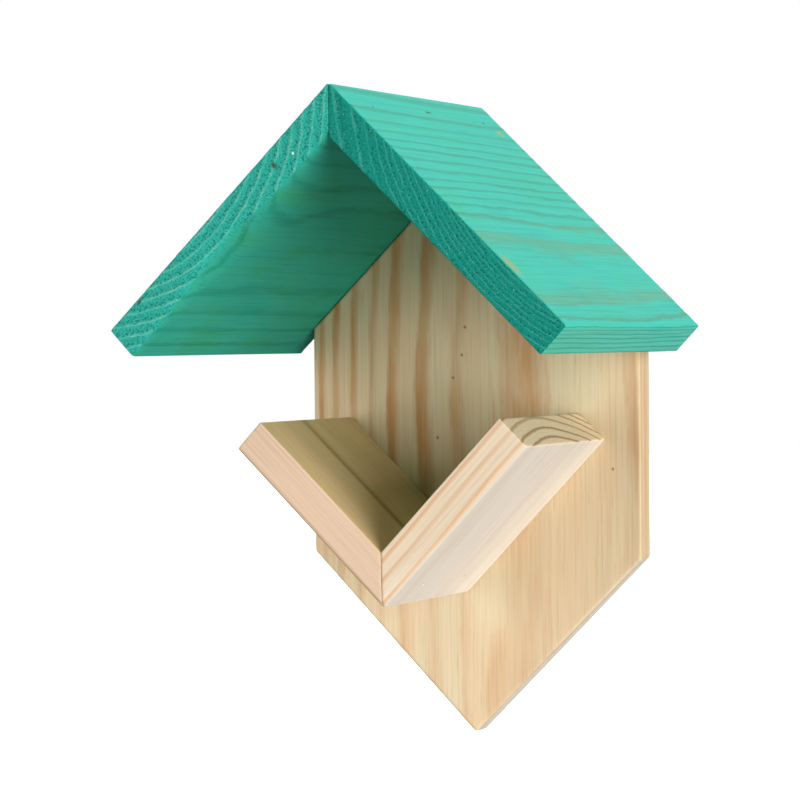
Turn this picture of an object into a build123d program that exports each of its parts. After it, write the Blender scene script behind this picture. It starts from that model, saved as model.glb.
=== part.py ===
from build123d import *
import math
import os

# Wall-hung bird feeder: a gabled roof over a V-shaped cradle, both fixed to a pointed back board.
# Frame: +Z up, the front faces -Y, +X is to the right seen from the front. The origin is the
# centre of the keyhole's round hole, on the wall face. Sizes are in millimetres and degrees.

# Roof: two boards, mitred at the ridge, lying on the back board's sloped edges
ROOF_PITCH = 44.0
ROOF_DEPTH = 164.0
ROOF_THICKNESS = 17.0
ROOF_OVERHANG = 18.4            # eave past the back board's side, along the slope
ROOF_EAVE_RADIUS = 1.2          # eased long edges of the eave

# Back board: its peak fills the gable, its lower end runs to a point
BACK_WIDTH = 170.0
BACK_THICKNESS = 12.0
BACK_SIDE_HEIGHT = 108.6        # upright side edge, from the roof down to the lower corner
BACK_POINT_ANGLE = 45.0         # fall of the lower edges from level

# Cradle: two arms at a right angle, mitred at their lower corner
HOLDER_THICKNESS = 18.0
HOLDER_DEPTH = 95.0             # stand-out from the back board
HOLDER_LENGTH = 102.2           # outer face, from the lower corner to the free end
HOLDER_DROP = 208.8             # back board's peak down to the cradle's lower corner
HOLDER_OFFSET = -3.6            # that corner's place across the board, off the centre line
HOLDER_TILT = 1.04              # turn of the whole cradle, right arm up
HOLDER_NOSE_RADIUS = 3.0        # rounded lower front edge of each arm

# Hanger: a keyhole plate let in flush with the wall face
HANGER_DROP = 60.0              # back board's peak down to the keyhole's round hole
PLATE_WIDTH = 18.0
PLATE_HEIGHT = 46.0
PLATE_THICKNESS = 1.5
PLATE_CORNER_RADIUS = 3.0
PLATE_CLEARANCE = 0.25          # gap round the plate in its recess
PLATE_SCREW_MARGIN = 5.0        # plate's end to its screw
KEYHOLE_RADIUS = 4.5            # round hole that passes the wall screw's head
KEYHOLE_SLOT_WIDTH = 5.0
KEYHOLE_RISE = 9.0              # round hole's centre to the slot's upper end centre
HEAD_ROOM_DEPTH = 5.0           # pocket behind the plate for the wall screw's head
HEAD_ROOM_MARGIN = 1.0          # pocket past the round hole, all round

# Countersunk screws with a 90 degree head: diameter, head diameter and length
PLATE_SCREW = (3.0, 6.0, 10.0)
HOLDER_SCREW = (3.5, 7.0, 40.0)
HOLDER_SCREW_FROM_CORNER = 38.0
HOLDER_SCREW_FROM_END = 18.0
RECESS_BLADE = 0.16             # cross recess: blade width as a share of the head's diameter
RECESS_SPAN = 0.56              # cross recess: its span as a share of the head's diameter
RECESS_DEPTH = 1.3
RECESS_TAPER = 8.0

# Brads: headed wire nails, each head set below the wood
BRAD_RADIUS = 0.6
BRAD_HEAD_RADIUS = 0.9
BRAD_HEAD_THICKNESS = 0.6
BRAD_TIP = 1.5
BRAD_SET = 1.0                  # head below the surface where the brad goes in squarely
RIDGE_BRAD_LENGTH = 30.0
RIDGE_BRAD_COVER = 3.2          # wood under the brad's line in the left roof board
RIDGE_BRAD_FRONT_MARGIN = 24.0
RIDGE_BRAD_REAR_MARGIN = 20.0
HOLDER_BRAD_LENGTH = 30.0
HOLDER_BRAD_COVER = 5.0         # wood over the brad's line in the left arm
HOLDER_BRAD_MARGIN = 25.0
GABLE_BRAD_LENGTH = 25.0
GABLE_BRAD_COVER = 5.0          # wood before the brad where it leaves the sloped edge
GABLE_BRAD_MARGIN = 28.0        # from each end of the sloped edge
GABLE_BRAD_SET = 1.6            # head below the wall face, along the slanting brad

# Places that follow from the sizes above, as (x, z) pairs in the wall face
PITCH = math.radians(ROOF_PITCH)
PEAK = (0.0, HANGER_DROP)
RIDGE = (0.0, HANGER_DROP + ROOF_THICKNESS / math.cos(PITCH))
HALF_WIDTH = BACK_WIDTH / 2
GABLE_EDGE = HALF_WIDTH / math.cos(PITCH)
CORNER = (HOLDER_OFFSET, HANGER_DROP - HOLDER_DROP)
PLATE_CENTRE = (0.0, KEYHOLE_RISE / 2)


def step(point, *moves):
    """The (x, z) point reached from point by each (distance, direction) in turn."""
    x, z = point
    for distance, direction in moves:
        x += distance * direction[0]
        z += distance * direction[1]
    return x, z


def bearing(degrees):
    """Unit (x, z) direction, turned from +X towards +Z."""
    return math.cos(math.radians(degrees)), math.sin(math.radians(degrees))


def slope(side):
    """Directions down the roof's slope and square out of it, on side -1 (left) or 1 (right)."""
    down = (side * math.cos(PITCH), -math.sin(PITCH))
    out = (side * math.sin(PITCH), math.cos(PITCH))
    return down, out


def arm_axes(side):
    """Directions along an arm from the lower corner, and square into the cradle."""
    right = bearing(45 + HOLDER_TILT)
    left = bearing(135 + HOLDER_TILT)
    return (right, left) if side > 0 else (left, right)


def slab(outline, rear, thickness):
    """A board with an (x, z) outline, running forward from `rear` in front of the wall."""
    face = make_face(Polyline(outline, close=True))
    return extrude(Plane.XZ.offset(rear) * face, amount=thickness)


def ease(board, points, radius):
    """Round the board's edges that pass nearest to each (x, y, z) point."""
    edges = [board.edges().sort_by_distance(Vector(*point))[0] for point in points]
    return fillet(edges, radius)


def driven(fastener, point, direction):
    """Put a fastener, drawn with its head up at the origin, at point and along direction."""
    return Plane(origin=point, z_dir=-Vector(*direction)) * fastener


def brad(length):
    """A brad with its head's top at the origin, pointing down."""
    shank_end = BRAD_TIP - length
    profile = [
        (0, 0),
        (BRAD_HEAD_RADIUS, 0),
        (BRAD_HEAD_RADIUS, -BRAD_HEAD_THICKNESS),
        (BRAD_RADIUS, -BRAD_HEAD_THICKNESS),
        (BRAD_RADIUS, shank_end),
        (0, -length),
    ]
    return revolve(Plane.XZ * make_face(Polyline(profile, close=True)), Axis.Z)


def brad_hole(length, set_depth):
    """What a brad takes out of the wood: its own body and the way its head went in."""
    reach = set_depth + 2 * BRAD_HEAD_RADIUS
    return brad(length) + Pos(0, 0, reach / 2) * Cylinder(BRAD_HEAD_RADIUS, reach)


def screw_blank(size):
    """A countersunk screw with no recess, its head's top at the origin, pointing down."""
    diameter, head, length = size
    radius = diameter / 2
    cone = head / 2 - radius
    profile = [(0, 0), (head / 2, 0), (radius, -cone), (radius, diameter - length), (0, -length)]
    return revolve(Plane.XZ * make_face(Polyline(profile, close=True)), Axis.Z)


def screw(size):
    """A countersunk screw with a cross recess."""
    span = size[1] * RECESS_SPAN
    blade = size[1] * RECESS_BLADE
    cross = Rectangle(span, blade) + Rectangle(blade, span)
    return screw_blank(size) - extrude(cross, amount=-RECESS_DEPTH, taper=RECESS_TAPER)


def upright_slot(radius, margin=0.0):
    """The keyhole's run, from its round hole up to the slot's end, with rounded ends."""
    wide = radius + margin
    run = Pos(0, KEYHOLE_RISE / 2) * Rectangle(2 * wide, KEYHOLE_RISE)
    return run + Circle(wide) + Pos(0, KEYHOLE_RISE) * Circle(wide)


def gable_brad_places():
    """(name, point, direction) of the slanting brads that hold the roof to the back board."""
    drop = BACK_THICKNESS - GABLE_BRAD_COVER
    places = []
    for side, side_name in ((-1, "left"), (1, "right")):
        down, out = slope(side)
        for run, run_name in ((GABLE_BRAD_MARGIN, "upper"), (GABLE_EDGE - GABLE_BRAD_MARGIN, "lower")):
            x, z = step(PEAK, (run, down), (-drop, out))
            direction = Vector(out[0], -1, out[1]).normalized()
            head = Vector(x, 0, z) + direction * GABLE_BRAD_SET
            places.append((f"gable_brad_{side_name}_{run_name}", head, direction))
    return places


def ridge_brad_places():
    """(name, point, direction) of the brads that close the ridge, driven from the right board."""
    down, _ = slope(1)
    along_left, _ = slope(-1)
    run = (ROOF_THICKNESS - RIDGE_BRAD_COVER) / math.sin(2 * PITCH)
    x, z = step(RIDGE, (run, down), (BRAD_SET, along_left))
    direction = Vector(along_left[0], 0, along_left[1])
    depths = (("front", ROOF_DEPTH - RIDGE_BRAD_FRONT_MARGIN), ("rear", RIDGE_BRAD_REAR_MARGIN))
    return [(f"ridge_brad_{name}", Vector(x, -depth, z), direction) for name, depth in depths]


def holder_brad_places():
    """(name, point, direction) of the brads that close the cradle's lower corner."""
    along_right, along_left = arm_axes(1)
    x, z = step(CORNER, (HOLDER_THICKNESS - HOLDER_BRAD_COVER, along_right), (BRAD_SET, along_left))
    direction = Vector(along_left[0], 0, along_left[1])
    front = BACK_THICKNESS + HOLDER_DEPTH - HOLDER_BRAD_MARGIN
    depths = (("front", front), ("rear", BACK_THICKNESS + HOLDER_BRAD_MARGIN))
    return [(f"holder_brad_{name}", Vector(x, -depth, z), direction) for name, depth in depths]


def holder_screw_places():
    """(name, point, direction) of the screws from the wall face into the arms."""
    places = []
    runs = (("lower", HOLDER_SCREW_FROM_CORNER), ("upper", HOLDER_LENGTH - HOLDER_SCREW_FROM_END))
    for side, side_name in ((-1, "left"), (1, "right")):
        along, inward = arm_axes(side)
        for run_name, run in runs:
            x, z = step(CORNER, (run, along), (HOLDER_THICKNESS / 2, inward))
            places.append((f"holder_screw_{side_name}_{run_name}", Vector(x, 0, z), Vector(0, -1, 0)))
    return places


def plate_screw_places():
    """(name, point, direction) of the two screws that hold the keyhole plate."""
    reach = PLATE_HEIGHT / 2 - PLATE_SCREW_MARGIN
    places = []
    for end_name, rise in (("upper", reach), ("lower", -reach)):
        point = Vector(0, 0, PLATE_CENTRE[1] + rise)
        places.append((f"hanger_screw_{end_name}", point, Vector(0, -1, 0)))
    return places


def roof_board(side):
    """One roof board, with its mitre on the centre line and a square-cut eave."""
    down, out = slope(side)
    eave_low = step(PEAK, (GABLE_EDGE + ROOF_OVERHANG, down))
    eave_high = step(eave_low, (ROOF_THICKNESS, out))
    board = slab([RIDGE, eave_high, eave_low, PEAK], 0, ROOF_DEPTH)
    eave_edges = [(x, -ROOF_DEPTH / 2, z) for x, z in (eave_low, eave_high)]
    return ease(board, eave_edges, ROOF_EAVE_RADIUS)


def back_board():
    """The back board, with the recess for the hanger plate and its screw head's pocket."""
    gable_left = step(PEAK, (GABLE_EDGE, slope(-1)[0]))
    gable_right = step(PEAK, (GABLE_EDGE, slope(1)[0]))
    low_left = step(gable_left, (BACK_SIDE_HEIGHT, (0, -1)))
    low_right = step(gable_right, (BACK_SIDE_HEIGHT, (0, -1)))
    point = (0, low_left[1] - HALF_WIDTH * math.tan(math.radians(BACK_POINT_ANGLE)))
    board = slab([PEAK, gable_right, low_right, point, low_left, gable_left], 0, BACK_THICKNESS)
    recess = RectangleRounded(
        PLATE_WIDTH + 2 * PLATE_CLEARANCE,
        PLATE_HEIGHT + 2 * PLATE_CLEARANCE,
        PLATE_CORNER_RADIUS + PLATE_CLEARANCE,
    )
    board -= extrude(Plane.XZ * Pos(*PLATE_CENTRE) * recess, amount=PLATE_THICKNESS)
    pocket = Plane.XZ * upright_slot(KEYHOLE_RADIUS, HEAD_ROOM_MARGIN)
    return board - extrude(pocket, amount=PLATE_THICKNESS + HEAD_ROOM_DEPTH)


def holder_arm(side):
    """One arm of the cradle, mitred at the lower corner, with a rounded lower front edge."""
    along, inward = arm_axes(side)
    end_out = step(CORNER, (HOLDER_LENGTH, along))
    end_in = step(end_out, (HOLDER_THICKNESS, inward))
    corner_in = step(CORNER, (HOLDER_THICKNESS, along), (HOLDER_THICKNESS, inward))
    arm = slab([CORNER, end_out, end_in, corner_in], BACK_THICKNESS, HOLDER_DEPTH)
    nose_x, nose_z = step(CORNER, (HOLDER_LENGTH / 2, along))
    return ease(arm, [(nose_x, -BACK_THICKNESS - HOLDER_DEPTH, nose_z)], HOLDER_NOSE_RADIUS)


def hanger_plate():
    """The keyhole plate, with a countersunk hole near each end."""
    plate = extrude(
        Plane.XZ * Pos(*PLATE_CENTRE) * RectangleRounded(PLATE_WIDTH, PLATE_HEIGHT, PLATE_CORNER_RADIUS),
        amount=PLATE_THICKNESS,
    )
    plate -= extrude(Plane.XZ * (Circle(KEYHOLE_RADIUS) + upright_slot(KEYHOLE_SLOT_WIDTH / 2)),
                     amount=PLATE_THICKNESS)
    return plate


def bored(board, fasteners):
    """The board less every fastener hole given."""
    for hole in fasteners:
        board -= hole
    return board


def build():
    """Every sub-part, by its node's name."""
    nodes = {}
    holes = {"plate": [], "holder": [], "gable": [], "ridge": [], "corner": []}
    fixings = (
        ("plate", plate_screw_places(), screw(PLATE_SCREW), screw_blank(PLATE_SCREW)),
        ("holder", holder_screw_places(), screw(HOLDER_SCREW), screw_blank(HOLDER_SCREW)),
        ("gable", gable_brad_places(), brad(GABLE_BRAD_LENGTH),
         brad_hole(GABLE_BRAD_LENGTH, GABLE_BRAD_SET)),
        ("ridge", ridge_brad_places(), brad(RIDGE_BRAD_LENGTH), brad_hole(RIDGE_BRAD_LENGTH, BRAD_SET)),
        ("corner", holder_brad_places(), brad(HOLDER_BRAD_LENGTH),
         brad_hole(HOLDER_BRAD_LENGTH, BRAD_SET)),
    )
    for group, places, fastener, hole in fixings:
        for name, point, direction in places:
            nodes[name] = driven(fastener, point, direction)
            holes[group].append(driven(hole, point, direction))

    nodes["back_board"] = bored(back_board(), holes["plate"] + holes["holder"] + holes["gable"])
    nodes["hanger_plate"] = bored(hanger_plate(), holes["plate"])
    for side, side_name in ((-1, "left"), (1, "right")):
        nodes[f"roof_board_{side_name}"] = bored(roof_board(side), holes["gable"] + holes["ridge"])
        nodes[f"holder_arm_{side_name}"] = bored(holder_arm(side), holes["holder"] + holes["corner"])
    return nodes


os.makedirs("parts", exist_ok=True)
for node_name, node_shape in build().items():
    export_step(node_shape, f"parts/{node_name}.step")
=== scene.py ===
"""Looks of a wall-hung bird feeder: stained pine roof over a bare pine back board and V cradle.

Everything is in metres in the CAD frame: +Z up, the front faces -Y, the wall face is y = 0.
Each wooden board is rebuilt as a fine mesh from the hull of its CAD node: its edges are eased, its
grain stands in relief, and the CAD node's own holes and pockets are cut back into it.
"""

import math

import bmesh
import bpy
import numpy as np
from mathutils import Matrix, Vector, noise


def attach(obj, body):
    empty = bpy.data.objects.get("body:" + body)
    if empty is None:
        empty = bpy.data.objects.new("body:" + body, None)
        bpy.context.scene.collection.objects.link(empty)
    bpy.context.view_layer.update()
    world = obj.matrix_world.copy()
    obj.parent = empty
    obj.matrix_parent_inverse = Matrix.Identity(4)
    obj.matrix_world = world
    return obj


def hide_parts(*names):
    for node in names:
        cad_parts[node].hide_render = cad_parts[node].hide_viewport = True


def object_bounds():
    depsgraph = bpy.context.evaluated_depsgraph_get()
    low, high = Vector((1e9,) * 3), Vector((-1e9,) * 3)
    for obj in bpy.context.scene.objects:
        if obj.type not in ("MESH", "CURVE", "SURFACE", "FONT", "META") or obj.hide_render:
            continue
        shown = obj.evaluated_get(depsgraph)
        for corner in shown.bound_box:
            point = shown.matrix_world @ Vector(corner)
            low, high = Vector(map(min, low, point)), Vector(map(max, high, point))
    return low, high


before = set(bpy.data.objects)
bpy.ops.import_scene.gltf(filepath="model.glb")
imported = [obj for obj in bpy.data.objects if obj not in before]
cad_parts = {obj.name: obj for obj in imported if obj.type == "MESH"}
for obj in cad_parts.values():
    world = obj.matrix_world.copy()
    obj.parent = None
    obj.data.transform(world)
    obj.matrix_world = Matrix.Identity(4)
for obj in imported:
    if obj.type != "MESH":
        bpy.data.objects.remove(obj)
cad_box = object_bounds()

MM = 0.001
WELD = 1e-7                     # closes the seams that the frame's shading splits leave
FLAT = math.radians(0.5)        # faces turned less than this are one face
CORNER = math.radians(32)       # edges turned more than this may be eased
CREASE = math.radians(50)       # edges turned more than this are shaded sharp
EASE_STEPS = 5                  # facets across an eased edge
RIDGE_EASE = 0.8                # mm: radii of the eased edges
ROOF_EASE = 0.45
BACK_EASE = 0.7
ARM_EASE = 0.5
MITRE = 0.98                    # a mitre's face looks at least this much along X,
SEAM_REACH = 0.006              # and lies this near the middle
WOBBLE = "wobble"               # attribute: how far the growth rings wander from true circles, in mm

# Relief: how a planed or sawn face stands up and sinks in
LEAST_SUNK = 0.01               # mm, so that the visual faces lie just inside the CAD ones
HARD_FROM = 0.55                # share of the year's growth at which the wood starts to be hard
HARD_RISE = 0.35                # and the share over which it gets there
ROLL_SIZE = (9, 34, 9)          # mm: across, along and out, the length of the plane's chatter
ROLL_SHIFT = 7.7                # picks the stretch of noise it's drawn from

# Wear of the left roof board's lower front corner, in mm
WORN_AT = 88                    # down the slope, where it is most worn
WORN_WIDTH = 26
WORN_BACK = (5, 12)             # back from the end: everywhere, and on top of that at the worst
WORN_UP = (3, 6)                # up from the underside, likewise

# Browner lines in the stain, in mm past the innermost ring
AGED_FULL = 7.0                 # they are at full strength up to here,
AGED_GONE = 11.0                # and gone from here on

# Camera: where it looks from and what it aims at
VIEW_AZIMUTH = 25.23
VIEW_ELEVATION = 1.16
VIEW_ROLL = -0.49
VIEW_DISTANCE = 1.485
VIEW_AIM = (-0.0442, 0.0, -0.0572)
VIEW_LENS = 137.4
SENSOR = 36.0

FLOOR_DROP = 1.1                # the feeder hangs this far above the floor
FLOOR_REACH = 30.0
ROOM_FILL = 0.03                # the white room's light on the feeder
ROOM_MIRRORED = 0.5             # how bright it is in reflections
LAMPS = {                       # azimuth, elevation and spread in degrees, and strength
    "right_light": (69.0, 0.0, 45.0, 0.95),
    "low_light": (40.0, -35.0, 60.0, 0.28),
    "left_light": (-37.0, 0.0, 45.0, 0.37),
    "left_high_light": (-45.0, 40.0, 50.0, 0.30),
    "rear_light": (180.0, 22.0, 60.0, 0.8),
}


# ---------------------------------------------------------------- boards

def welded(mesh):
    """A closed bmesh of a frame mesh."""
    shape = bmesh.new()
    shape.from_mesh(mesh)
    bmesh.ops.remove_doubles(shape, verts=shape.verts, dist=WELD)
    return shape


def hull(mesh):
    """The board before anything was bored or let into it: its CAD mesh's convex hull."""
    shape = bmesh.new()
    for vertex in mesh.vertices:
        shape.verts.new(vertex.co)
    made = bmesh.ops.convex_hull(shape, input=shape.verts)
    spare = made["geom_interior"] + made["geom_unused"]
    unused = {element for element in spare if isinstance(element, bmesh.types.BMVert)}
    bmesh.ops.delete(shape, geom=list(unused), context="VERTS")
    bmesh.ops.dissolve_limit(shape, angle_limit=FLAT, verts=shape.verts, edges=shape.edges)
    return shape


def to_object(shape, name):
    """A bmesh as an object in the scene."""
    mesh = bpy.data.meshes.new(name)
    shape.to_mesh(mesh)
    made = bpy.data.objects.new(name, mesh)
    bpy.context.scene.collection.objects.link(made)
    return made


def remove(thing):
    """Takes a helper object and its mesh away."""
    mesh = thing.data
    bpy.data.objects.remove(thing)
    bpy.data.meshes.remove(mesh)


def applied(thing):
    """The mesh that an object's modifiers make."""
    graph = bpy.context.evaluated_depsgraph_get()
    return bpy.data.meshes.new_from_object(thing.evaluated_get(graph))


def subtract(thing, cutter):
    """Cuts one closed object out of another."""
    cut = thing.modifiers.new("cut", "BOOLEAN")
    cut.operation = "DIFFERENCE"
    cut.solver = "MANIFOLD"
    cut.object = cutter
    mesh = applied(thing)
    thing.modifiers.clear()
    spare = thing.data
    thing.data = mesh
    bpy.data.meshes.remove(spare)


class Board:
    """A board's own axes and growth rings, found on the hull of its CAD node.

    face is square out of the side that looks towards `looks`, grain runs along the fibres, and
    across runs over the board's width. origin is that side's furthest point towards `corner`.
    The pith, where the rings are centred, lies `pith` = (across, out) millimetres from the origin
    and closes in on the board by `lean` per unit along the grain. rings are the radii in
    millimetres at which one year's growth ends, each with dark latewood just inside it. They
    wander by `wander` = (reach, length along the grain, width, seed), and by each of `swirls` =
    (across, along, width, length, reach), a bulge centred there. ragged is how far, in
    millimetres, the wood's material lets them stray besides.
    """

    def __init__(self, node, looks, grain, corner, pith, rings, wander, ragged, lean=0.0, swirls=()):
        self.node = node
        self.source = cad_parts[node].data
        self.hull = hull(self.source)
        towards = Vector(looks).normalized()
        side = max(self.hull.faces, key=lambda face: face.normal.dot(towards) ** 9 * face.calc_area())
        self.face = side.normal.copy()
        along = Vector(grain)
        self.grain = (along - self.face * along.dot(self.face)).normalized()
        self.across = self.grain.cross(self.face)
        furthest = Vector(corner)
        self.origin = max((vertex.co.copy() for vertex in side.verts), key=furthest.dot)
        self.pith = self.origin + (self.across * pith[0] + self.face * pith[1]) * MM
        self.pith_at = pith
        lowest = min((vertex.co for vertex in self.hull.verts), key=self.face.dot)
        self.thickness = (self.origin - lowest).dot(self.face)
        self.turn = Matrix((self.across, self.grain, self.face)).transposed()
        self.lean = lean
        self.rings = rings
        self.wander = wander
        self.swirls = swirls
        self.ragged = ragged

    def local(self, points):
        """Points in millimetres from the pith: across, along the grain and out of the face."""
        return (points - np.array(self.pith)) @ np.array(self.turn) / MM

    def spot(self, across, along, out=0.0):
        """A place on the board, in millimetres from its origin, as millimetres from the pith."""
        return across - self.pith_at[0], along, out - self.pith_at[1]

    def year(self, points, wobble):
        """How far through its year's growth each point is, 0 in spring to 1 at the ring's edge."""
        across, along, out = self.local(points).T
        radius = np.hypot(across, out + self.lean * along) + wobble
        return np.interp(radius, self.rings, np.arange(len(self.rings))) % 1


def wander(board, points):
    """How far the rings wander at each point, in millimetres."""
    reach, length, width, seed = board.wander
    scale = np.array((1 / width, 1 / length, 1 / width))
    local = board.local(points)
    away = np.array([reach * noise.noise(Vector(place)) for place in local * scale + seed])
    for across, along, bulge_width, bulge_length, bulge in board.swirls:
        centre = board.spot(across, along)
        beside = (local[:, 0] - centre[0]) / bulge_width
        ahead = (local[:, 1] - centre[1]) / bulge_length
        away += bulge * np.exp(-beside ** 2 - ahead ** 2)
    return away.astype(np.float32)


def eased(board, eases):
    """The board's hull with its sharp edges rounded, each rule (radius, test) in turn."""
    shape = board.hull.copy()
    for radius, wanted in eases:
        edges = []
        for edge in shape.edges:
            start, end = (vertex.co for vertex in edge.verts)
            sharp = len(edge.link_faces) == 2 and edge.calc_face_angle() > CORNER
            if sharp and wanted((start + end) / 2, (end - start).normalized()):
                edges.append(edge)
        bmesh.ops.bevel(
            shape, geom=edges, offset=radius * MM, offset_type="OFFSET", segments=EASE_STEPS,
            profile=0.5, affect="EDGES", clamp_overlap=True,
        )
    return shape


def fine_mesh(board, shape, voxel):
    """Covers a shape with an even fine mesh that lies exactly on its surface."""
    to_board = board.turn.transposed().to_4x4()
    shape.transform(to_board)
    target = to_object(shape, "eased")
    fine = to_object(shape, board.node + "_wood")
    remesh = fine.modifiers.new("even", "REMESH")
    remesh.mode = "VOXEL"
    remesh.voxel_size = voxel * MM
    snap = fine.modifiers.new("snap", "SHRINKWRAP")
    snap.target = target
    snap.wrap_method = "NEAREST_SURFACEPOINT"
    mesh = applied(fine)
    mesh.transform(to_board.transposed())
    fine.modifiers.clear()
    fine.data = mesh
    remove(target)
    return fine


def points_of(mesh):
    """A mesh's points as rows of a numpy array."""
    points = np.empty(len(mesh.vertices) * 3, np.float32)
    mesh.vertices.foreach_get("co", points)
    return points.reshape(-1, 3).astype(float)


def roll_over(board, mesh, radii):
    """Wears the corner between the end and the underside round; radii(across) gives its two reaches.

    The reaches, in millimetres, are measured back from the end and up from the underside.
    """
    points = points_of(mesh)
    local = board.local(points)
    depth = np.stack([-local[:, 1], local[:, 2] + board.pith_at[1] + board.thickness / MM], 1)
    reach = np.stack(radii(local[:, 0] + board.pith_at[0]), 1)
    share = 1 - depth / reach
    length = np.linalg.norm(share, axis=1)
    beyond = (share > 0).all(axis=1) & (length > 1)
    inward = np.where(beyond[:, None], reach * (share - share / np.maximum(length, 1e-9)[:, None]), 0.0) * MM
    moved = points - inward[:, :1] * np.array(board.grain) + inward[:, 1:] * np.array(board.face)
    mesh.vertices.foreach_set("co", moved.astype(np.float32).ravel())
    mesh.update()


def carve_relief(board, mesh, depth, chatter):
    """Sinks the soft spring wood under the hard rings, and lets the planed surface roll a little.

    The mitres, whose faces look along X, stay flat and meet.
    """
    points = points_of(mesh)
    normals = np.empty(len(points) * 3, np.float32)
    mesh.vertex_normals.foreach_get("vector", normals)
    year = board.year(points, wander(board, points))
    hard = np.clip((year - HARD_FROM) / HARD_RISE, 0, 1)
    places = board.local(points) / ROLL_SIZE + ROLL_SHIFT
    rolls = np.array([noise.noise(Vector(place)) for place in places])
    normals = normals.reshape(-1, 3)
    sunk = LEAST_SUNK + depth * (1 - hard) + chatter * (0.5 + 0.5 * rolls)
    sunk[(abs(normals[:, 0]) > MITRE) & (abs(points[:, 0]) < SEAM_REACH)] = 0.0
    moved = points - normals * sunk[:, None] * MM
    mesh.vertices.foreach_set("co", moved.astype(np.float32).ravel())
    mesh.update()


def keep_wander(board, mesh):
    """Stores the rings' wandering on the mesh, where the wood's material reads it."""
    kept = mesh.attributes.new(WOBBLE, "FLOAT", "POINT")
    kept.data.foreach_set("value", wander(board, points_of(mesh)))


def make_board(board, eases, voxel, relief, chatter, material, worn=None):
    """Makes the finished board and puts it in the place of its CAD node.

    voxel is the fine mesh's spacing, and relief and chatter how deep the soft wood and the plane's
    rolls are sunk, all in millimetres.
    """
    made = fine_mesh(board, eased(board, eases), voxel)
    if worn:
        roll_over(board, made.data, worn)
    carve_relief(board, made.data, relief, chatter)
    pockets = to_object(board.hull, "pockets")
    bored = to_object(welded(board.source), "bored")
    subtract(pockets, bored)
    subtract(made, pockets)
    remove(pockets)
    remove(bored)
    keep_wander(board, made.data)
    made.data.shade_smooth()
    made.data.set_sharp_from_angle(angle=CREASE)
    made.data.materials.clear()
    made.data.materials.append(material)
    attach(made, "root")
    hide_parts(board.node)


# ---------------------------------------------------------------- materials

def linear(red, green, blue):
    """A colour given as 0-255 display values, as the shader's linear RGBA."""
    def one(value):
        value /= 255
        return value / 12.92 if value <= 0.04045 else ((value + 0.055) / 1.055) ** 2.4
    return one(red), one(green), one(blue), 1.0


class Finish:
    """A material under construction."""

    def __init__(self, name):
        self.material = bpy.data.materials.new(name)
        self.material.use_nodes = True
        self.tree = self.material.node_tree
        self.tree.nodes.clear()
        self.shader = self.node("BsdfPrincipled")
        output = self.tree.nodes.new("ShaderNodeOutputMaterial")
        self.tree.links.new(self.shader.outputs[0], output.inputs["Surface"])

    def node(self, kind, inputs=None, **settings):
        """Adds a node, with its settings and its inputs set or linked."""
        made = self.tree.nodes.new("ShaderNode" + kind)
        for name, value in settings.items():
            setattr(made, name, value)
        for name, value in (inputs or {}).items():
            self.feed(made.inputs[name], value)
        return made

    def feed(self, socket, value):
        """Links a socket to another node's output, or sets it."""
        if isinstance(value, bpy.types.NodeSocket):
            self.tree.links.new(value, socket)
        else:
            socket.default_value = value

    def math(self, operation, first, second=0.0):
        """Arithmetic on one or two values."""
        return self.node("Math", {0: first, 1: second}, operation=operation).outputs[0]

    def span(self, value, low, high, to_low=0.0, to_high=1.0, smooth=False):
        """Maps low..high to to_low..to_high, held at the ends."""
        made = self.node("MapRange", {0: value, 1: low, 2: high, 3: to_low, 4: to_high})
        made.interpolation_type = "SMOOTHSTEP" if smooth else "LINEAR"
        return made.outputs[0]

    def ramp(self, value, stops):
        """A colour ramp through (place, colour) stops."""
        made = self.node("ValToRGB", {0: value})
        elements = made.color_ramp.elements
        while len(elements) < len(stops):
            elements.new(0.5)
        for element, (place, colour) in zip(elements, stops):
            element.position = place
            element.color = colour
        return made.outputs[0]

    def mix(self, factor, first, second, blend="MIX"):
        """The first colour, turned by a factor into the second or into its blend with it."""
        made = self.node("Mix", data_type="RGBA", blend_type=blend)
        self.feed(made.inputs[0], factor)
        self.feed(made.inputs[6], first)
        self.feed(made.inputs[7], second)
        return made.outputs[2]

    def noise(self, vector, scale, detail=2.0, roughness=0.5):
        """Smooth noise, with a feature for every 1 / scale of the vector's units."""
        inputs = {"Vector": vector, "Scale": scale, "Detail": detail, "Roughness": roughness}
        return self.node("TexNoise", inputs).outputs["Fac"]

    def stretch(self, vector, factors, shift=(0.0, 0.0, 0.0)):
        """A place scaled by each factor and then shifted: a small factor makes a long feature."""
        made = self.node("VectorMath", {0: vector, 1: factors, 2: shift}, operation="MULTIPLY_ADD")
        return made.outputs[0]


def board_place(finish, board):
    """Millimetres from the pith: across, along the grain and out of the face."""
    place = finish.node("TexCoord").outputs["Object"]
    turned = finish.node(
        "Mapping",
        {"Vector": place, "Location": board.pith, "Rotation": board.turn.to_euler(), "Scale": (MM, MM, MM)},
        vector_type="TEXTURE",
    )
    return turned.outputs[0]


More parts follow.
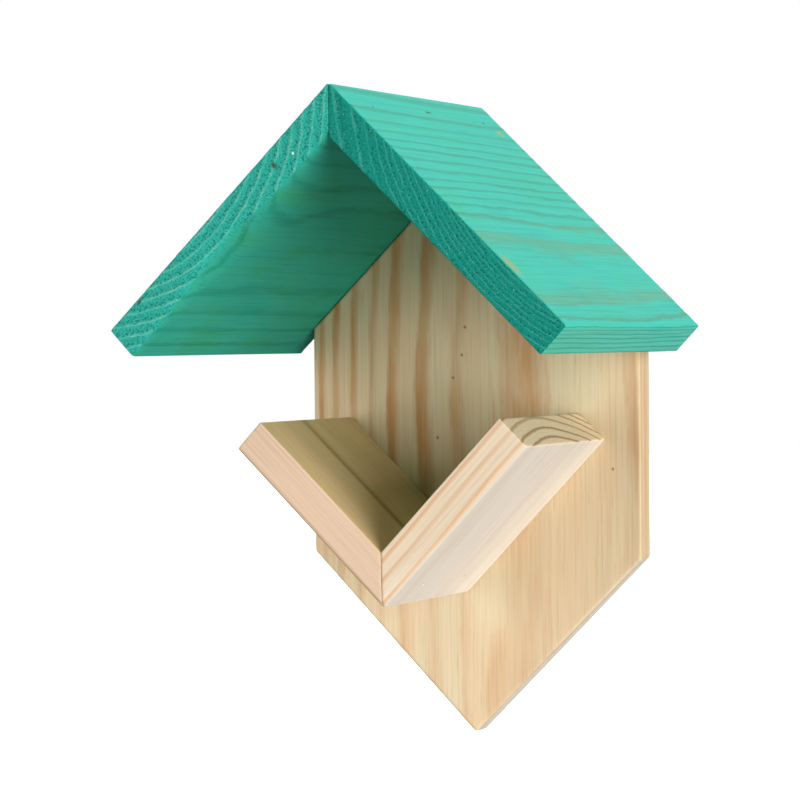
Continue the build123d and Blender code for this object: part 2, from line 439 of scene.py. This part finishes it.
def growth(finish, board, place):
    """Each point's share of its year's growth, and a strength that differs from year to year."""
    parts = finish.node("SeparateXYZ", {0: place})
    out = finish.math("ADD", parts.outputs[2], finish.math("MULTIPLY", parts.outputs[1], board.lean))
    squares = finish.math("ADD", finish.math("POWER", parts.outputs[0], 2.0), finish.math("POWER", out, 2.0))
    wobble = finish.node("Attribute", attribute_name=WOBBLE).outputs["Fac"]
    ragged = finish.noise(finish.stretch(place, (1.0, 0.14, 1.0), (2.0, 6.0, 1.0)), 0.22, 3.0, 0.6)
    wobble = finish.math("ADD", wobble, finish.span(ragged, 0.0, 1.0, -board.ragged, board.ragged))
    radius = finish.math("ADD", finish.math("SQRT", squares), wobble)
    first, last, count = board.rings[0], board.rings[-1], len(board.rings) - 1
    curve = finish.node("FloatCurve", {"Value": finish.span(radius, first, last)})
    points = curve.mapping.curves[0].points
    while len(points) < count + 1:
        points.new(0.5, 0.5)
    for number, ring in enumerate(board.rings):
        points[number].location = ((ring - first) / (last - first), number / count)
        points[number].handle_type = "VECTOR"
    curve.mapping.update()
    years = finish.math("MULTIPLY", curve.outputs[0], float(count))
    lot = finish.node("TexWhiteNoise", {"W": finish.math("FLOOR", years)}, noise_dimensions="1D")
    return finish.math("FRACT", years), lot.outputs["Value"]


def end_grain(finish, board):
    """1 where the surface cuts across the fibres, 0 where it runs along them."""
    normal = finish.node("TexCoord").outputs["Normal"]
    share = finish.node("VectorMath", {0: normal, 1: board.grain}, operation="DOT_PRODUCT")
    return finish.span(finish.math("ABSOLUTE", share.outputs["Value"]), 0.45, 0.85, smooth=True)


def grey(value):
    """A grey as a ramp's colour, linear."""
    return value, value, value, 1.0


def facing(finish, direction, low, high):
    """1 where the surface looks along a direction: its normal's share of it runs from low to high."""
    normal = finish.node("TexCoord").outputs["Normal"]
    share = finish.node("VectorMath", {0: normal, 1: direction}, operation="DOT_PRODUCT").outputs["Value"]
    return finish.span(share, low, high, smooth=True)


def latewood(finish, year, lot, start, faintest):
    """Dark towards the end of each year's growth, ending sharply, and fainter in some years."""
    hard = finish.ramp(year, [
        (0.0, grey(0.3)), (0.07, grey(0.0)), (start, grey(0.02)), (start + 0.4 * (1 - start), grey(0.75)),
        (start + 0.7 * (1 - start), grey(1.0)), (0.94, grey(0.9)), (1.0, grey(0.35)),
    ])
    return finish.math("MULTIPLY", hard, finish.span(lot, 0.0, 1.0, faintest, 1.0))


def spot_mask(finish, place, centre, radii):
    """1 inside an oval of the given radii in millimetres, 0 outside, with a ragged edge."""
    offset = finish.node("VectorMath", {0: place, 1: centre}, operation="SUBTRACT").outputs[0]
    scaled = finish.node("VectorMath", {0: offset, 1: radii}, operation="DIVIDE").outputs[0]
    reach = finish.node("VectorMath", {0: scaled}, operation="LENGTH").outputs["Value"]
    ragged = finish.math("ADD", reach, finish.math("MULTIPLY", finish.noise(place, 1.1, 3.0, 0.7), 1.6))
    return finish.span(ragged, 1.85, 1.25, smooth=True)


def add_spots(finish, board, place, colour, spots):
    """Marks in the wood: each (across, along, out, radii, colour) in millimetres from the origin."""
    for across, along, out, radii, tint in spots:
        mask = spot_mask(finish, place, board.spot(across, along, out), radii)
        colour = finish.mix(mask, colour, tint)
    return colour


def bare_end(finish, place, hard, early, late):
    """Sawn end grain of bare pine: its rings, and the saw's grit."""
    grit = finish.noise(finish.stretch(place, (1.0, 0.2, 1.0)), 1.6, 3.0, 0.6)
    gritty = finish.ramp(grit, [(0.3, linear(224, 218, 208)), (0.6, linear(255, 255, 255))])
    return finish.mix(1.0, finish.mix(hard, early, late), gritty, "MULTIPLY")


def bare_pine(
        name, board, early, late, shade, end_early, end_late, start, end_start, plain=(), spots=(),
        fades=(0.0, -1.0, 1.0)):
    """Planed bare pine: pale spring wood, and orange latewood that ends sharply.

    `plain` lists sides that are paler or plainer: (direction, colour, share of it). The rings are
    faint beyond a place along the grain: `fades` = (full until, faint from, share left).
    """
    finish = Finish(name)
    place = board_place(finish, board)
    year, lot = growth(finish, board, place)
    cut = end_grain(finish, board)
    fibre = finish.noise(finish.stretch(place, (1.0, 0.02, 1.0)), 0.9, 3.0, 0.55)
    cloud = finish.noise(finish.stretch(place, (1.0, 0.3, 1.0)), 0.04, 3.0)
    hard = latewood(finish, year, lot, start, 0.55)
    patchy = finish.noise(finish.stretch(place, (1.0, 0.15, 1.0), (9.0, 5.0, 1.0)), 0.09, 3.0)
    banded = finish.math("MULTIPLY", hard, finish.span(patchy, 0.32, 0.6, 0.5, 1.0))
    along = finish.node("SeparateXYZ", {0: place}).outputs[1]
    full_until, faint_from, left = fades
    kept = finish.span(along, full_until, faint_from, 1.0, left, smooth=True)
    banded = finish.math("MULTIPLY", banded, kept)
    colour = finish.mix(finish.span(cloud, 0.38, 0.62, 0.0, 0.8, smooth=True), early, shade)
    colour = finish.mix(banded, colour, late)
    dash = finish.noise(finish.stretch(place, (1.0, 0.07, 1.0), (3.0, 2.0, 7.0)), 0.9, 2.0, 0.4)
    colour = finish.mix(finish.span(dash, 0.66, 0.76, 0.0, 0.25), colour, late)
    for direction, pale, share in plain:
        mask = finish.math("MULTIPLY", facing(finish, direction, 0.75, 0.95), share)
        colour = finish.mix(mask, colour, pale)
    streak = finish.ramp(fibre, [
        (0.3, linear(240, 236, 230)), (0.5, linear(251, 250, 248)), (0.75, linear(255, 255, 255)),
    ])
    colour = finish.mix(1.0, colour, streak, "MULTIPLY")
    ends = latewood(finish, year, lot, end_start, 0.7)
    colour = finish.mix(cut, colour, bare_end(finish, place, ends, end_early, end_late))
    colour = add_spots(finish, board, place, colour, spots)
    finish.feed(finish.shader.inputs["Base Color"], colour)
    finish.feed(finish.shader.inputs["Roughness"], finish.span(hard, 0.0, 1.0, 0.75, 0.6))
    finish.shader.inputs["Specular IOR Level"].default_value = 0.15
    height = finish.math("ADD", finish.math("MULTIPLY", fibre, 0.7), finish.math("MULTIPLY", hard, 0.5))
    bump = finish.node("Bump", {"Strength": 0.3, "Distance": 0.0001, "Height": height})
    finish.feed(finish.shader.inputs["Normal"], bump.outputs[0])
    return finish.material


def stained_face(finish, board, place, hard, fibre, light, line, aged):
    """Faces along the grain: streaks, clouds of thinner stain, and painted shade on the underside, darker
    and patchy, with fainter rings where the face looks down.
    """
    # painted shade: the side that looks down, under the roof, is darkened and its rings made fainter
    below = facing(finish, -board.face, 0.3, 0.9)
    wash = finish.noise(finish.stretch(place, (1.0, 0.4, 1.0)), 0.045, 4.0, 0.6)
    radius = finish.node("VectorMath", {0: finish.stretch(place, (1.0, 0.0, 1.0))}, operation="LENGTH")
    first = board.rings[0]
    inner = finish.span(radius.outputs["Value"], first + AGED_GONE, first + AGED_FULL, smooth=True)
    aged_line = finish.mix(finish.math("MULTIPLY", inner, finish.math("SUBTRACT", 1.0, below)), line, aged)
    faint = finish.math("MULTIPLY", hard, finish.span(below, 0.0, 1.0, 0.9, 0.55))
    eave = finish.math("MULTIPLY", facing(finish, board.across, 0.75, 0.95), 0.6)
    colour = finish.mix(faint, finish.mix(eave, light, linear(118, 196, 176)), aged_line)
    streak = finish.ramp(fibre, [
        (0.28, linear(214, 232, 230)), (0.5, linear(250, 252, 251)), (0.72, linear(255, 255, 255)),
    ])
    colour = finish.mix(1.0, colour, streak, "MULTIPLY")
    washed = finish.ramp(wash, [
        (0.3, linear(226, 250, 252)), (0.5, linear(255, 255, 255)), (0.7, linear(255, 252, 240)),
    ])
    colour = finish.mix(1.0, colour, washed, "MULTIPLY")
    # painted shade on the underside: its colour darkened and warmed in patches
    shade_tints = linear(244, 207, 198), linear(246, 204, 182)
    underside_shade = finish.mix(finish.span(wash, 0.5, 0.7, smooth=True), *shade_tints)
    return finish.mix(below, colour, finish.mix(1.0, colour, underside_shade, "MULTIPLY"))


def stained_end(finish, place, year, hard, early, late):
    """End grain that has drunk the stain, with rows of pores and painted glints: its colour, and its
    roughness as a height.
    """
    grit = finish.noise(finish.stretch(place, (1.0, 0.2, 1.0)), 1.3, 4.0, 0.7)
    pores = finish.noise(finish.stretch(place, (1.0, 0.15, 1.0), (4.0, 0.0, 2.0)), 0.95, 2.0, 0.5)
    row = finish.ramp(year, [
        (0.0, grey(0.55)), (0.3, grey(0.6)), (0.55, grey(1.0)), (0.78, grey(0.9)), (0.9, grey(0.0)),
    ])
    broken = finish.noise(finish.stretch(place, (1.0, 0.2, 1.0), (1.0, 3.0, 8.0)), 0.22, 4.0, 0.7)
    pale = finish.math("MULTIPLY", hard, finish.span(broken, 0.34, 0.6))
    end = finish.mix(pale, early, late)
    band = finish.math("MULTIPLY", row, 0.4)
    end = finish.mix(band, end, finish.mix(1.0, end, linear(150, 214, 206), "MULTIPLY"))
    dark = finish.math("MULTIPLY", row, finish.span(pores, 0.48, 0.62, 0.0, 0.85))
    end = finish.mix(dark, end, finish.mix(1.0, end, linear(90, 158, 150), "MULTIPLY"))
    gritty = finish.ramp(grit, [
        (0.3, linear(150, 204, 198)), (0.5, linear(238, 246, 244)), (0.66, linear(255, 255, 255)),
    ])
    end = finish.mix(1.0, end, gritty, "MULTIPLY")
    # painted glints: pale specks on the end grain that stand in for glints of light
    painted_glints = finish.noise(finish.stretch(place, (1.0, 0.2, 1.0), (7.0, 1.0, 5.0)), 1.7, 1.0, 0.4)
    end = finish.mix(finish.span(painted_glints, 0.74, 0.79), end, linear(150, 214, 200))
    rough = finish.math("SUBTRACT", finish.math("MULTIPLY", grit, 1.6), finish.math("MULTIPLY", dark, 2.0))
    return end, rough


def stained_pine(name, board, light, line, aged, end_early, end_late, spots=()):
    """Pine under a thin turquoise stain, with painted shade darkening its underside, and paler on the eave's
    cut edge.

    End grain drinks it and shows rows of pores. `aged` is the browner line that the stain leaves on
    the rings nearest the pith.
    """
    finish = Finish(name)
    place = board_place(finish, board)
    year, lot = growth(finish, board, place)
    cut = end_grain(finish, board)
    hard = latewood(finish, year, lot, 0.64, 0.6)
    fibre = finish.noise(finish.stretch(place, (1.0, 0.012, 1.0)), 0.9, 4.0, 0.6)
    side = stained_face(finish, board, place, hard, fibre, light, line, aged)
    end, rough = stained_end(finish, place, year, hard, end_early, end_late)
    colour = add_spots(finish, board, place, finish.mix(cut, side, end), spots)
    finish.feed(finish.shader.inputs["Base Color"], colour)
    finish.feed(finish.shader.inputs["Roughness"], finish.span(hard, 0.0, 1.0, 0.75, 0.66))
    finish.shader.inputs["Specular IOR Level"].default_value = 0.12
    height = finish.math("ADD", finish.math("MULTIPLY", fibre, 0.6), finish.math("MULTIPLY", hard, 0.6))
    height = finish.math("ADD", height, finish.math("MULTIPLY", rough, cut))
    bump = finish.node("Bump", {"Strength": 0.5, "Distance": 0.0002, "Height": height})
    finish.feed(finish.shader.inputs["Normal"], bump.outputs[0])
    return finish.material


def metal(name, colour, dull, roughness, fineness):
    """Plated steel with cloudy patches of duller plating, about 1 / fineness metres across."""
    finish = Finish(name)
    place = finish.node("TexCoord").outputs["Object"]
    patches = finish.noise(place, fineness, 3.0, 0.6)
    worn = finish.span(patches, 0.4, 0.65, smooth=True)
    finish.feed(finish.shader.inputs["Base Color"], finish.mix(worn, colour, dull))
    finish.feed(finish.shader.inputs["Roughness"], finish.span(worn, 0.0, 1.0, roughness, roughness + 0.2))
    finish.shader.inputs["Metallic"].default_value = 1.0
    scratches = finish.noise(finish.stretch(place, (1.0, 1.0, 0.15)), fineness * 8, 4.0, 0.7)
    bump = finish.node("Bump", {"Strength": 0.25, "Distance": 0.00005, "Height": scratches})
    finish.feed(finish.shader.inputs["Normal"], bump.outputs[0])
    return finish.material


# ---------------------------------------------------------------- the feeder's wood

def cut_edge(grain):
    """A rule for the edges that the saw left, across the grain."""
    return lambda middle, direction: abs(direction.dot(grain)) < 0.9


def any_edge(middle, direction):
    """A rule for every edge."""
    return True


def make_roof():
    """Two stained boards, mitred at the ridge, with the growth rings each shows on its end."""
    left = Board(
        "roof_board_left", looks=(-1, 0, 1), grain=(0, -1, 0), corner=(0, -1, 1),
        pith=(83.8, 74.5), lean=0.004, rings=[57.8 + 4.8 * year for year in range(15)],
        wander=(1.2, 120.0, 30.0, 1.7), ragged=1.1, swirls=[(62.0, -34.0, 26.0, 24.0, 2.4)],
    )
    right = Board(
        "roof_board_right", looks=(1, 0, 1), grain=(0, 1, 0), corner=(0, -1, 1),
        pith=(117.2, 123.4), lean=-0.004,
        rings=[
            118.0, 121.5, 125.6, 128.0, 130.0, 131.8, 133.9, 136.1, 138.8, 141.8, 145.0, 147.9, 151.3, 155.4,
            160.6, 168.6, 177.0,
        ],
        wander=(0.8, 110.0, 26.0, 4.3), ragged=0.8,
    )
    tan = linear(150, 184, 130)
    nick = linear(30, 92, 84)
    finishes = {
        left: dict(
            end_early=linear(58, 190, 174), end_late=linear(122, 198, 178),
            spots=[
                (33.5, 0.0, -9.8, (0.6, 30.0, 0.9), linear(226, 244, 238)),
                (78.0, 0.0, -13.6, (1.4, 2.4, 1.4), linear(150, 214, 200)),
                (43.6, 0.0, -7.0, (1.4, 30.0, 2.2), linear(62, 96, 74)),
                (133.3, 0.0, -1.7, (1.8, 30.0, 1.2), linear(50, 110, 96)),
            ],
        ),
        right: dict(
            end_early=linear(20, 156, 140), end_late=linear(70, 168, 152),
            spots=[
                (20.7, 152.4, 0.0, (2.2, 5.0, 4.0), tan),
                (115.5, 5.0, 0.0, (8.0, 4.4, 4.0), tan),
                (11.8, 85.0, 0.0, (0.8, 3.4, 4.0), nick),
            ],
        ),
    }

    def ridge(middle, direction):
        return abs(middle.x) < 0.5 * MM and abs(direction.y) > 0.9

    def worn(across):
        worst = np.exp(-((across - WORN_AT) / WORN_WIDTH) ** 2)
        return WORN_BACK[0] + WORN_BACK[1] * worst, WORN_UP[0] + WORN_UP[1] * worst

    for board, looks in finishes.items():
        eases = [(RIDGE_EASE, ridge), (ROOF_EASE, cut_edge(board.grain))]
        material = stained_pine(
            "stained_" + board.node[11:], board, light=linear(57, 206, 185), line=linear(20, 164, 138),
            aged=linear(96, 166, 124), **looks,
        )
        make_board(
            board, eases, voxel=0.9, relief=0.10, chatter=0.06, material=material,
            worn=worn if board is left else None,
        )


def make_back():
    """The back board, slab sawn: its rings run nearly flat to the face, so they show as wide bands."""
    board = Board(
        "back_board", looks=(0, -1, 0), grain=(0, 0, 1), corner=(0, 0, 1), pith=(30.0, -155.5),
        rings=[146.0, 155.95, 159.6, 164.9, 170.8, 175.2, 180.4, 186.0, 190.4, 195.0, 200.0],
        wander=(0.6, 70.0, 34.0, 2.9), ragged=0.9,
        swirls=[
            (-45.0, -115.0, 60.0, 70.0, -1.8),
            (44.0, -115.0, 6.0, 400.0, 0.9),
            (85.0, -115.0, 20.0, 400.0, -5.0),
            (12.0, -262.0, 14.0, 30.0, -2.2),
        ],
    )
    speck = linear(172, 134, 88)
    places = [(-18.8, -134.9), (70.9, -149.1), (-4.0, -82.2), (-5.8, -95.3), (-10.4, -106.3)]
    eases = [(BACK_EASE, any_edge)]
    edge = linear(196, 166, 128)
    material = bare_pine(
        "back_pine", board,
        early=linear(239, 221, 184), late=linear(210, 147, 90), shade=linear(243, 214, 174),
        end_early=linear(234, 228, 220), end_late=linear(212, 198, 180), start=0.5, end_start=0.6,
        plain=[(board.across, edge, 0.6), (-board.across, edge, 0.6)],
        spots=[(across, along, 0.0, (0.8, 1.0, 3.0), speck) for across, along in places],
        fades=(-120.0, -190.0, 0.45),
    )
    make_board(
        board, eases, voxel=0.95, relief=0.05, chatter=0.05, material=material,
    )


def make_arms():
    """The cradle's two arms: the right one shows its rings on its free end and in its front edge."""
    left = Board(
        "holder_arm_left", looks=(1, 0, 1), grain=(-1, 0, 1), corner=(0, -1, -1),
        pith=(-140.0, -9.0), lean=0.01, rings=[100.0, 187.0, 246.0],
        wander=(1.0, 80.0, 24.0, 6.1), ragged=0.8,
    )
    right = Board(
        "holder_arm_right", looks=(-1, 0, 1), grain=(-1, 0, -1), corner=(0, -1, -1),
        pith=(36.0, -98.0), lean=0.01,
        rings=[66.0, 72.0, 78.5, 84.3, 90.0, 96.6, 102.5, 107.5, 112.0, 116.5],
        wander=(0.8, 80.0, 24.0, 8.3), ragged=0.5,
    )
    eases = [(ARM_EASE, any_edge)]
    for board, looks in {
        left: dict(
            early=linear(230, 197, 146), late=linear(138, 100, 50), shade=linear(216, 186, 140), start=0.92,
            plain=[(Vector((0, -1, 0)), linear(240, 208, 182), 0.9)],
        ),
        right: dict(
            early=linear(244, 228, 204), late=linear(226, 176, 128), shade=linear(240, 218, 190), start=0.6,
            plain=[(-right.face, linear(234, 226, 214), 0.8)],
        ),
    }.items():
        material = bare_pine(
            "arm_pine_" + board.node[11:], board, end_early=linear(238, 216, 178),
            end_late=linear(170, 128, 82), end_start=0.66, **looks,
        )
        make_board(
            board, eases, voxel=0.65, relief=0.05, chatter=0.04, material=material,
        )


def dress_metal():
    """The hanger, screws and brads keep their CAD shapes and get their plating."""
    steel = metal("zinc_plate", linear(196, 198, 200), linear(160, 163, 166), 0.32, 90.0)
    screw = metal("zinc_screws", linear(206, 200, 184), linear(170, 160, 140), 0.28, 240.0)
    brad = metal("brad_steel", linear(120, 118, 114), linear(78, 72, 66), 0.42, 500.0)
    for name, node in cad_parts.items():
        if node.hide_render:
            continue
        finish = steel if name == "hanger_plate" else screw if "screw" in name else brad
        for slot in node.material_slots:
            slot.material = finish


# ---------------------------------------------------------------- studio

def add_camera():
    """Looks at the feeder from its right, level with its middle."""
    azimuth, elevation, roll = map(math.radians, (VIEW_AZIMUTH, VIEW_ELEVATION, VIEW_ROLL))
    forward = Vector((
        -math.sin(azimuth) * math.cos(elevation),
        math.cos(azimuth) * math.cos(elevation),
        -math.sin(elevation),
    ))
    level = Vector((math.cos(azimuth), math.sin(azimuth), 0))
    above = level.cross(forward)
    right = level * math.cos(roll) + above * math.sin(roll)
    up = above * math.cos(roll) - level * math.sin(roll)
    camera = bpy.data.objects.new("camera", bpy.data.cameras.new("camera"))
    camera.data.lens = VIEW_LENS
    camera.data.sensor_width = SENSOR
    camera.data.clip_start, camera.data.clip_end = 0.05, 60.0
    camera.matrix_world = Matrix((right, up, -forward)).transposed().to_4x4()
    camera.location = Vector(VIEW_AIM) - forward * VIEW_DISTANCE
    bpy.context.scene.collection.objects.link(camera)
    bpy.context.scene.camera = camera


def add_light(name, azimuth, elevation, spread, strength):
    """A broad soft light, far off: azimuth 0 is straight in front and 90 to the right, in degrees."""
    lamp = bpy.data.lights.new(name, "SUN")
    lamp.angle = math.radians(spread)
    lamp.energy = strength * math.pi
    source = bpy.data.objects.new(name, lamp)
    turn, lift = math.radians(azimuth), math.radians(elevation)
    towards = Vector((math.sin(turn) * math.cos(lift), -math.cos(turn) * math.cos(lift), math.sin(lift)))
    source.rotation_mode = "QUATERNION"
    source.rotation_quaternion = (-towards).to_track_quat("-Z", "Y")
    bpy.context.scene.collection.objects.link(source)


def add_floor():
    """A pale floor below the hung feeder, lit evenly and throwing no light back up."""
    shape = bmesh.new()
    bmesh.ops.create_grid(shape, x_segments=1, y_segments=1, size=FLOOR_REACH)
    floor = to_object(shape, "floor")
    floor.location.z = cad_box[0].z - FLOOR_DROP
    floor.visible_diffuse = False
    floor.visible_glossy = False
    floor.visible_shadow = False
    finish = Finish("floor_paint")
    place = finish.node("TexCoord").outputs["Object"]
    pale = finish.ramp(finish.noise(place, 5.0, 3.0), [(0.0, grey(0.96)), (1.0, grey(1.0))])
    finish.feed(finish.shader.inputs["Base Color"], pale)
    finish.feed(finish.shader.inputs["Emission Color"], pale)
    finish.shader.inputs["Emission Strength"].default_value = 1.0
    finish.shader.inputs["Roughness"].default_value = 0.9
    floor.data.materials.append(finish.material)


def add_world():
    """A white room: white to look at, half as bright in reflections, and a faint fill besides."""
    world = bpy.data.worlds.new("white_room")
    world.use_nodes = True
    tree = world.node_tree
    rays = tree.nodes.new("ShaderNodeLightPath").outputs
    mirrored = tree.nodes.new("ShaderNodeMapRange")
    mirrored.inputs[3].default_value = ROOM_FILL
    mirrored.inputs[4].default_value = ROOM_MIRRORED
    tree.links.new(rays["Is Glossy Ray"], mirrored.inputs[0])
    strength = tree.nodes.new("ShaderNodeMapRange")
    tree.links.new(rays["Is Camera Ray"], strength.inputs[0])
    tree.links.new(mirrored.outputs[0], strength.inputs[3])
    tree.links.new(strength.outputs[0], tree.nodes["Background"].inputs["Strength"])
    tree.nodes["Background"].inputs["Color"].default_value = (1.0, 1.0, 1.0, 1.0)
    bpy.context.scene.world = world


def add_studio():
    """Soft lights: the strongest in front is on the feeder's right, and a weaker pair on its left."""
    add_floor()
    add_world()
    for name, (azimuth, elevation, spread, strength) in LAMPS.items():
        add_light(name, azimuth, elevation, spread, strength)
    settings = bpy.context.scene.view_settings
    settings.view_transform = "Standard"
    settings.look = "None"


add_camera()
make_roof()
make_back()
make_arms()
dress_metal()
add_studio()
